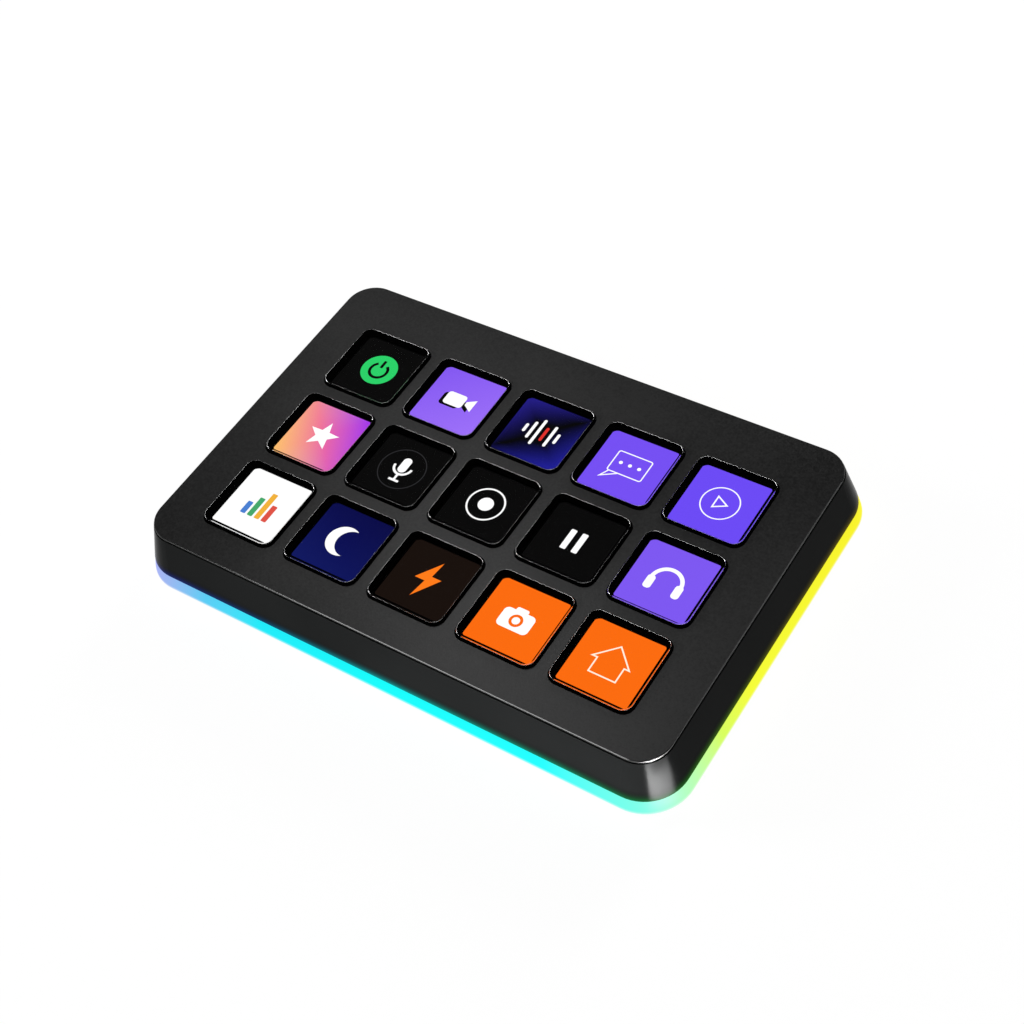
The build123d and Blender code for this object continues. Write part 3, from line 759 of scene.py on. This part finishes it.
# %% Fifteen pictures
bolt = np.array([[0.12, 0.62], [-0.36, -0.06], [-0.05, -0.06], [-0.14, -0.62], [0.36, 0.12], [0.06, 0.12]])
house = np.array([[-0.52, -0.02], [0.0, 0.50], [0.52, -0.02], [0.38, -0.02], [0.38, -0.46], [-0.38, -0.46],
                  [-0.38, -0.02]])
record_sign = [(WHITE, line(disc(0, 0, 0.52), 0.05, True)), (WHITE, fill(disc(0, 0, 0.22)))]
triangle = np.array([[-0.14, 0.19], [-0.14, -0.19], [0.20, 0.0]])
play_sign = [(WHITE, line(disc(0, 0, 0.52), 0.035, True)), (WHITE, line(triangle, 0.04, True))]
pictures = {
    "back_1": (plain(BLACK), power_sign()),
    "back_2": (drift(["#9b6ff6", "#8257ef"], (-1, 1)), film_camera(np.array([-0.10, -0.07]), WHITE)),
    "back_3": (drift(["#22229c", "#08080c", "#08080a", "#26208a"], (-0.4, 1)), equaliser()),
    "back_4": (plain(VIOLET), speech_bubble()),
    "back_5": (plain("#6b4af2"), play_sign),
    "middle_1": (drift(["#fbbf6a", "#ec6a9c", "#9a34ea"], (1, 0.5)), [(WHITE, fill(star()))]),
    "middle_2": (plain(BLACK), microphone()),
    "middle_3": (plain(BLACK), record_sign),
    "middle_4": (plain(BLACK), [(WHITE, fill(slab(x, 0, 0.17, 0.66, 0.03))) for x in (-0.17, 0.17)]),
    "middle_5": (plain("#7c57ee"), headphones()),
    "front_1": (plain("#fdfdfd"), bar_chart()),
    "front_2": (drift(["#121a60", "#0c1052", "#0b0d46"], (0.3, 1)), [(WHITE, crescent())]),
    "front_3": (plain("#19110d"), [("#ff7a1a", fill(bolt))]),
    "front_4": (plain(ORANGE), photo_camera()),
    "front_5": (plain(ORANGE), [("#fff0dc", line(house, 0.04, True))]),
}
print(len(pictures), "pictures,", sum(len(layers) for _, layers in pictures.values()), "shapes")

# %% Lay the pictures on the display
tile_side, tile_corner, pixel_grain_mm, picture_glow = 15.7, 0.5, 0.3, 1.05
picture_shift = np.array([-0.53, 0.75])
layer_gap, layer_thickness = 0.008, 0.004
screen_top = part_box("display_glass")[1].z / MM


def lit_picture():
    """Display light: dark glass that glows in the colour its points carry, with a trace of pixel grain."""
    material, tree, place = new_material("display picture, backlit")
    colour = add_node(tree, "Attribute", attribute_name="picture")
    grain = add_node(tree, "TexNoise", {"Vector": place, "Scale": per_metre(pixel_grain_mm)})
    gloss = add_node(tree, "MapRange", {"Value": grain, "To Min": 0.3, "To Max": 0.4})
    shader = add_node(tree, "BsdfPrincipled", {
        "Base Color": linear("#020202"), "Roughness": gloss, "Specular IOR Level": 0.0,
        "Emission Color": colour, "Emission Strength": picture_glow})
    add_node(tree, "OutputMaterial", {"Surface": shader})
    return material


def ground_grid(rings=14):
    """The tile as rings: its rounded outline drawn in towards the middle in equal steps."""
    outline = slab(0, 0, 2, 2, 2 * tile_corner / tile_side)
    share = np.linspace(1 / rings, 1, rings)
    points = (share[:, None, None] * outline[None]).reshape(-1, 2)
    faces = [face[::-1] for face in grid_faces(rings, len(outline), close_columns=True)]
    return points, [list(range(len(outline)))] + faces


def build_picture(name, ground, layers, material):
    """Stacks the ground and its shapes above the display, each a step higher, and colours every point."""
    middle = middle_of("key_" + name) + picture_shift
    shapes = [(ground, ground_grid())] + [(plain(tone), shape) for tone, shape in layers]
    points, faces, colours, start = [], [], [], 0
    for step, (tone, (flat, flat_faces)) in enumerate(shapes, start=1):
        height = np.full((len(flat), 1), screen_top + step * layer_gap)
        points.append(np.hstack([middle + flat * tile_side / 2, height]))
        colours.append(tone(flat))
        faces += [[start + corner for corner in face] for face in flat_faces]
        start += len(flat)
    piece = new_object("picture_" + name, np.concatenate(points) * MM, faces, material, smooth=False)
    attribute = piece.data.attributes.new("picture", "FLOAT_COLOR", "POINT")
    attribute.data.foreach_set("color", np.concatenate(colours).astype(np.float32).ravel())
    plate = piece.modifiers.new("thin plate", "SOLIDIFY")
    plate.thickness, plate.offset = layer_thickness * MM, -1.0
    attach(piece, "housing")
    return piece


picture_light = lit_picture()
for name, (ground, layers) in pictures.items():
    build_picture(name, ground, layers, picture_light)
print("pictures lie at", round(screen_top, 2), "mm")

# %% [markdown]
# ## Soft pieces
# Under each key a silicone collar buckles and springs back. Its section is a foot bead, a thin leaning
# web and a thick top, carried round the key. Pressing flattens it; here it rides on the housing and
# keeps its shape. The foam frame round the display and the rubber feet are sections carried
# round their outlines too: the foam bulges, the feet have grip grooves underneath.

# %% Silicone collars
# Inset and rise of the section's corners, from the outer foot up and over the top to the inner foot.
collar_section = np.array([[0.0, 0.0], [0.0, 0.16], [0.2, 0.25], [0.42, 0.68], [0.5, 0.9], [0.56, 1.0],
                           [1.24, 1.0], [1.3, 0.9], [1.0, 0.8], [0.74, 0.5], [0.8, 0.16], [0.8, 0.0]])
# Soft grey with a little light inside it, as smoked silicone has.
silicone = grained("silicone rubber, moulded translucent", "#2b2c2e", "#37383a", 0.5, 0.5, 0.004, IOR=1.41,
                   Subsurface_Weight=0.2, Subsurface_Radius=(0.4 * MM, 0.4 * MM, 0.4 * MM))


def build_collar(key):
    """The section carried round and closed both ways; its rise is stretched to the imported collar's height."""
    node = key.replace("key_", "collar_")
    low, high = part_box(node)
    half = (high - low).x / 2 / MM
    foot, top = low.z / MM, high.z / MM
    grid = carry_round(middle_of(node), (half, half), flange_corner, collar_section[:, 0],
                       foot + collar_section[:, 1] * (top - foot))
    faces = grid_faces(*grid.shape[:2], close_rows=True, close_columns=True)
    piece = new_object("dome_" + node, grid * MM, faces, silicone, closed=True)
    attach(piece, "housing")
    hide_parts(node)
    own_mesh(piece)
    return piece


collars = [build_collar(key) for key in key_names]
print(len(collars), "collars of", len(collars[0].data.polygons), "faces")

# %% Foam frame and rubber feet
gasket_width, gasket_bulge, gasket_corner = 1.5, 0.12, 0.8
foot_corner, foot_edge, sole_reach, groove_depth, groove_pitch = 3.0, 0.4, 3.6, 0.18, 0.9
# Open cells that swallow light, with a soft bloom at the edge.
foam = grained("polyurethane foam, die cut", "#1a1a1b", "#2c2c2e", 0.9, 0.25, 0.05, Sheen_Weight=0.2)
# Dry and dusty black, rougher than the case it carries.
rubber = grained("natural rubber, moulded matt", "#161616", "#212122", 0.75, 0.4, 0.02, IOR=1.52)


def build_gasket():
    """A flat strip whose two sides bulge by a half sine, carried round the display's edge."""
    low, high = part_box("dust_gasket")
    rise = np.linspace(0, 1, 6)
    bulge = gasket_bulge * np.sin(np.pi * rise)
    inset = np.concatenate([gasket_bulge - bulge, gasket_width - gasket_bulge + bulge[::-1]])
    height = low.z / MM + (high.z - low.z) / MM * np.concatenate([rise, rise[::-1]])
    half = (high - low).xy / 2 / MM
    grid = carry_round(middle_of("dust_gasket"), half, gasket_corner, inset, height, steps=6)
    faces = grid_faces(*grid.shape[:2], close_rows=True, close_columns=True)
    piece = new_object("foam_frame", grid * MM, faces, foam, closed=True)
    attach(piece, "housing")
    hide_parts("dust_gasket")
    return piece


def build_foot(name):
    """Upright sides, a quarter round at the lower edge, then grooves that go round on the sole."""
    low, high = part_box(name)
    turn = np.linspace(0, np.pi / 2, 5)
    sole = np.arange(foot_edge + groove_pitch / 2, sole_reach, groove_pitch / 4)
    wave = groove_depth * np.maximum(0, -np.cos((sole - foot_edge) / groove_pitch * 2 * np.pi))
    inset = np.concatenate([[cap_rim, 0.0], foot_edge * (1 - np.cos(turn)), sole])
    rise = np.concatenate([foot_edge * (1 - np.sin(turn)), wave])
    height = np.concatenate([[high.z / MM] * 2, low.z / MM + rise])
    grid = carry_round(middle_of(name), (high - low).xy / 2 / MM, foot_corner, inset, height)
    piece = new_object("pad_" + name, grid * MM, capped_faces(*grid.shape[:2]), rubber, closed=True)
    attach(piece, "housing")
    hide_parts(name)
    return piece


gasket = build_gasket()
feet = [build_foot(name) for name in nodes if name.startswith("foot_")]
print("foam frame", len(gasket.data.polygons), "faces,", len(feet), "feet of", len(feet[0].data.polygons))

# %% [markdown]
# ## Inside the case
# Nothing inside shows while the case is shut, but the part also comes apart, so each piece gets the
# finish it would have on the bench: drawn steel with streaks along the pull, a green board with
# tracks under its varnish, black chips, gold contacts in the socket.

# %% Metals and contacts
streak_spread, streak_dent_mm = 0.06, 0.003


def drawn_metal(name, tone, pale, rough, streak_mm, length_mm):
    """Metal with streaks along X: noise that is much longer than it is wide, in colour, gloss and relief."""
    material, tree, place = new_material(name)
    drawn = add_node(tree, "Mapping", {"Vector": place, "Scale": (streak_mm / length_mm, 1.0, 1.0)})
    streak = add_node(tree, "TexNoise", {"Vector": drawn, "Scale": per_metre(streak_mm)})
    colour = add_node(tree, "ValToRGB", {"Fac": streak}, stops=[(0.35, tone), (0.65, pale)])
    gloss = add_node(tree, "MapRange", {
        "Value": streak, "To Min": rough - streak_spread, "To Max": rough + streak_spread})
    dents = add_node(tree, "Bump", {"Height": streak, "Distance": streak_dent_mm * MM})
    shader = add_node(tree, "BsdfPrincipled", {
        "Base Color": colour, "Metallic": 1.0, "Normal": dents, "Roughness": gloss})
    add_node(tree, "OutputMaterial", {"Surface": shader})
    return material


# Grey with fine lines across the light: the sheet was rolled, then folded.
dress(drawn_metal("stainless steel, rolled sheet", "#9a9c9e", "#b9bbbd", 0.32, 0.15, 6.0), "display_tray")
# Brighter and smoother: the shell was drawn and plated.
dress(drawn_metal("steel, drawn and nickel plated", "#b0aea8", "#cfccc4", 0.22, 0.1, 3.0), "usb_socket")
# Dark with a blue cast, and no streaks: the screws were turned and black zinc plated.
dress(grained("steel, black zinc plated", "#2a2c30", "#3c3e44", 0.35, 0.2, 0.002, Metallic=1.0),
      "bracket_screws", "board_screws", "base_screws")

contact_count, contact_pitch, contact_width, contact_length, contact_crown = 12, 0.5, 0.28, 3.4, 0.04
contact_setback, contact_sink, contact_thickness = 0.6, 0.01, 0.02
# Warm and bright against the grey shell of the socket.
gold = drawn_metal("copper alloy, gold plated", "#d9a441", "#f0c368", 0.2, 0.1, 2.0)


def build_contacts():
    """Rows of crowned strips on both sides of the tongue: height is one less the square of the way across, and
    falls at both ends as a low power of a half sine."""
    points = node_points("usb_tongue")
    tip = points[:, 1].max()
    end = points[points[:, 1] > tip - same_mm]
    level, half = (end[:, 2].max() + end[:, 2].min()) / 2, (end[:, 2].max() - end[:, 2].min()) / 2
    across, along = np.meshgrid(np.linspace(-1, 1, 7), np.linspace(0, 1, 9))
    ends = np.sin(np.pi * np.clip(along, 0.08, 0.92)) ** 0.3
    crown = contact_crown * (1 - across ** 2) * ends - contact_sink
    places = (np.arange(contact_count) - (contact_count - 1) / 2) * contact_pitch
    strips, faces = [], []
    for side in (1, -1):
        for place in places:
            start = sum(len(strip) for strip in strips)
            strip = [place + side * across * contact_width / 2, tip - contact_setback - along * contact_length,
                     level + side * (half + crown)]
            strips.append(np.stack(strip, axis=2).reshape(-1, 3))
            faces += [[start + corner for corner in face][::-1] for face in grid_faces(*across.shape)]
    piece = new_object("socket_contacts", np.concatenate(strips) * MM, faces, gold)
    plate = piece.modifiers.new("strip", "SOLIDIFY")
    plate.thickness, plate.offset = contact_thickness * MM, -1.0
    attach(piece, "housing")
    return piece


contacts = build_contacts()
print(len(contacts.data.polygons), "contact faces")

# %% Display, board and ring lights
track_pitch_mm, track_dent_mm, varnish_speck_mm = 1.0, 0.03, 0.5


def varnished_board():
    """Glass-epoxy board under green varnish: copper tracks show as a slightly paler, raised net of lines."""
    material, tree, place = new_material("glass-epoxy board, green varnish over tracks")
    net = add_node(tree, "TexBrick", {
        "Vector": place, "Scale": per_metre(track_pitch_mm), "Mortar Size": 0.22, "Mortar Smooth": 0.3,
        "Brick Width": 7.0, "Row Height": 1.6,
        "Color1": linear("#0d3a22"), "Color2": linear("#104429"), "Mortar": linear("#1f6a3e")})
    dents = add_node(tree, "Bump", {"Height": net.outputs["Fac"], "Distance": track_dent_mm * MM})
    speck = add_node(tree, "TexNoise", {"Vector": place, "Scale": per_metre(varnish_speck_mm)})
    gloss = add_node(tree, "MapRange", {"Value": speck, "To Min": 0.25, "To Max": 0.38})
    shader = add_node(tree, "BsdfPrincipled", {
        "Base Color": net.outputs["Color"], "Roughness": gloss, "Normal": dents, "Coat Weight": 0.4,
        "Coat Roughness": 0.12})
    add_node(tree, "OutputMaterial", {"Surface": shader})
    return material


dress(varnished_board(), "main_board")
# Black from every side, a little streaky where the polariser was laid on.
dress(grained("display glass, polarised", "#020203", "#050507", 0.2, 1.5, 0.0005, Specular_IOR_Level=0.1),
      "display_glass")
# Milky, with the dot pattern that throws light forward.
dress(grained("acrylic light guide, dotted", "#dfe6ea", "#f4f8fa", 0.4, 0.6, 0.01, IOR=1.49),
      "display_backlight")
# Black film with carbon pads, slightly shiny.
dress(grained("polyester film, printed black", "#050505", "#0c0c0c", 0.5, 0.8, 0.002, Specular_IOR_Level=0.1),
      "contact_sheet")
# Amber film over copper.
dress(grained("polyimide flex, copper clad", "#8a4a16", "#a8601f", 0.35, 0.7, 0.004, IOR=1.7),
      "display_ribbon", "light_strip")
# Dead black with a fine sandy skin.
dress(grained("epoxy resin, moulded", "#121213", "#1c1c1d", 0.55, 0.15, 0.006, IOR=1.55), "board_chips")
# Cream bodies, the phosphor glowing through.
dress(grained("silicone resin over phosphor", "#f1e2a0", "#fdf3cf", 0.4, 0.3, 0.01, IOR=1.41), "ring_lights")
